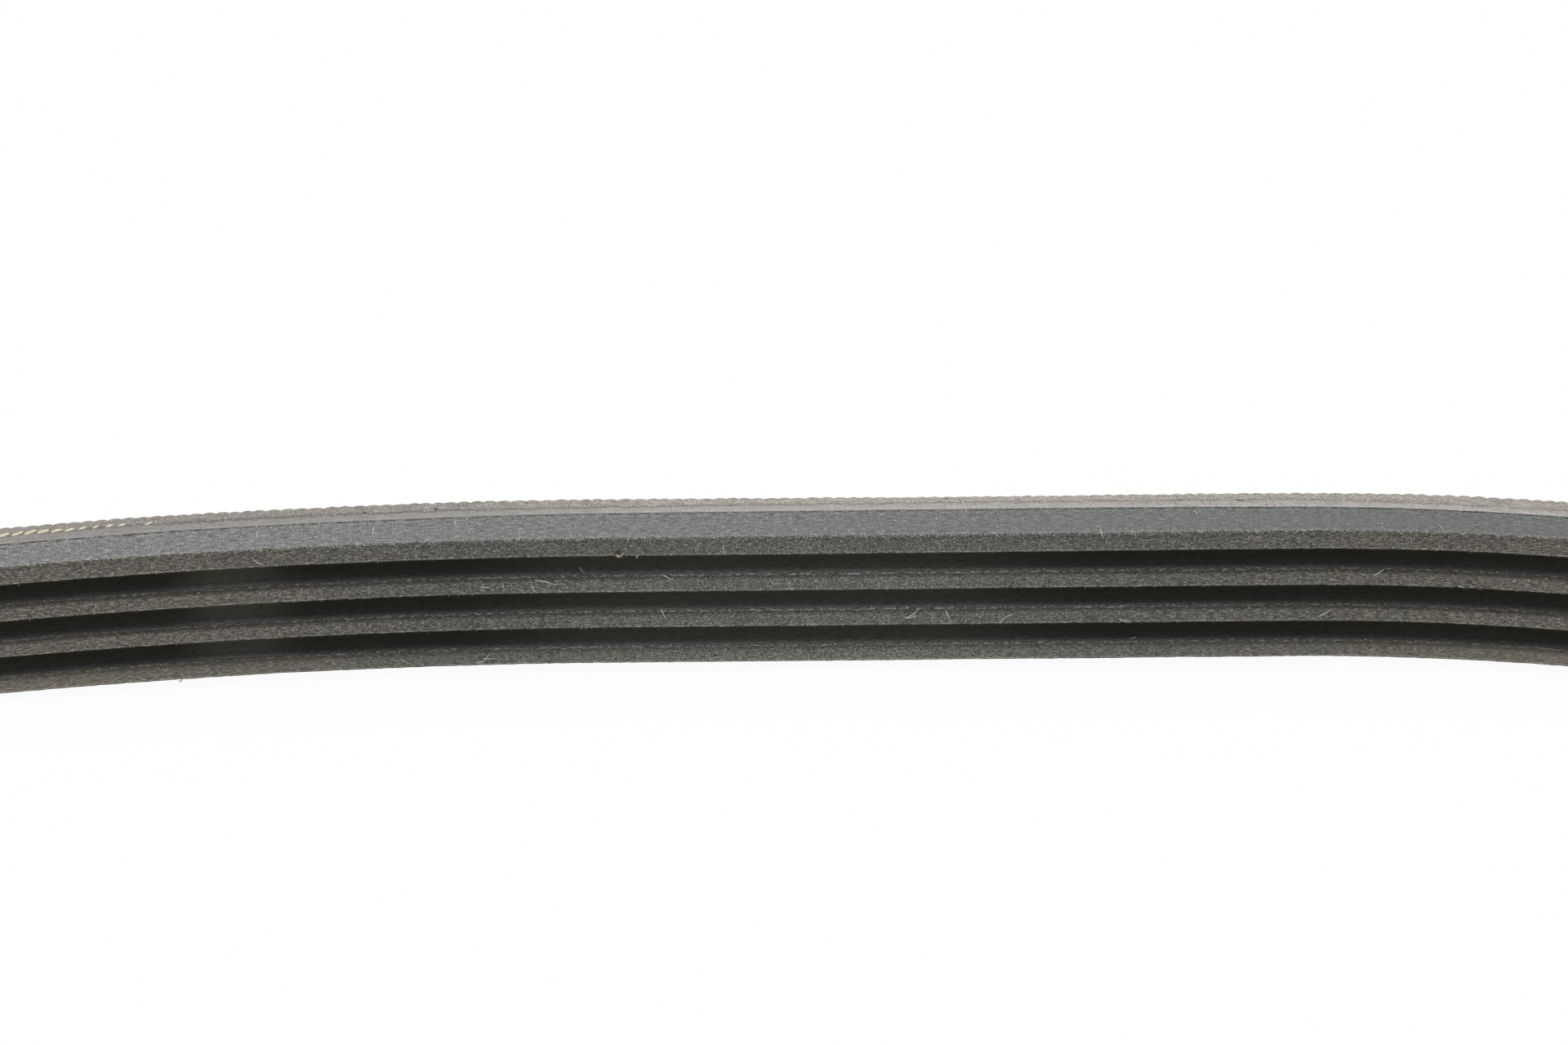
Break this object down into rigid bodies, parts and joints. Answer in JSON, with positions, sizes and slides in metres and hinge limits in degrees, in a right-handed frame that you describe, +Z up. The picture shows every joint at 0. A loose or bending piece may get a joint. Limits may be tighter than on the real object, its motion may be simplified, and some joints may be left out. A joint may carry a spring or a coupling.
{
  "type": "alternator belt",
  "caption": "Ribbed drive belt for an engine's alternator: a closed rubber loop lying on its cut edge, ribs inwards, with its plies and a stretch of open cord showing in the upper edge.",
  "frame": {"origin": "under the middle of the loop, on the plane of the lower cut edge that the belt stands on", "axes": "+X along the straight stretch of the strand that the picture shows, which is the loop's longer way; +Y from the loop's middle out to that strand; +Z up, across the belt's width"},
  "size_m": [0.3186, 0.213, 0.0143],
  "materials": {
    "rib_rubber": "matt, short fibres showing",
    "cushion_rubber": "matt, knife-cut",
    "back_cover": "matt, fabric-faced",
    "tension_cord": "twisted, pale"
  },
  "bodies": {
    "root": {"rib_rubber": "rib_rubber", "cushion_rubber": "cushion_rubber", "back_cover": "back_cover", "tension_cord": "tension_cord"}
  },
  "joints": []
}
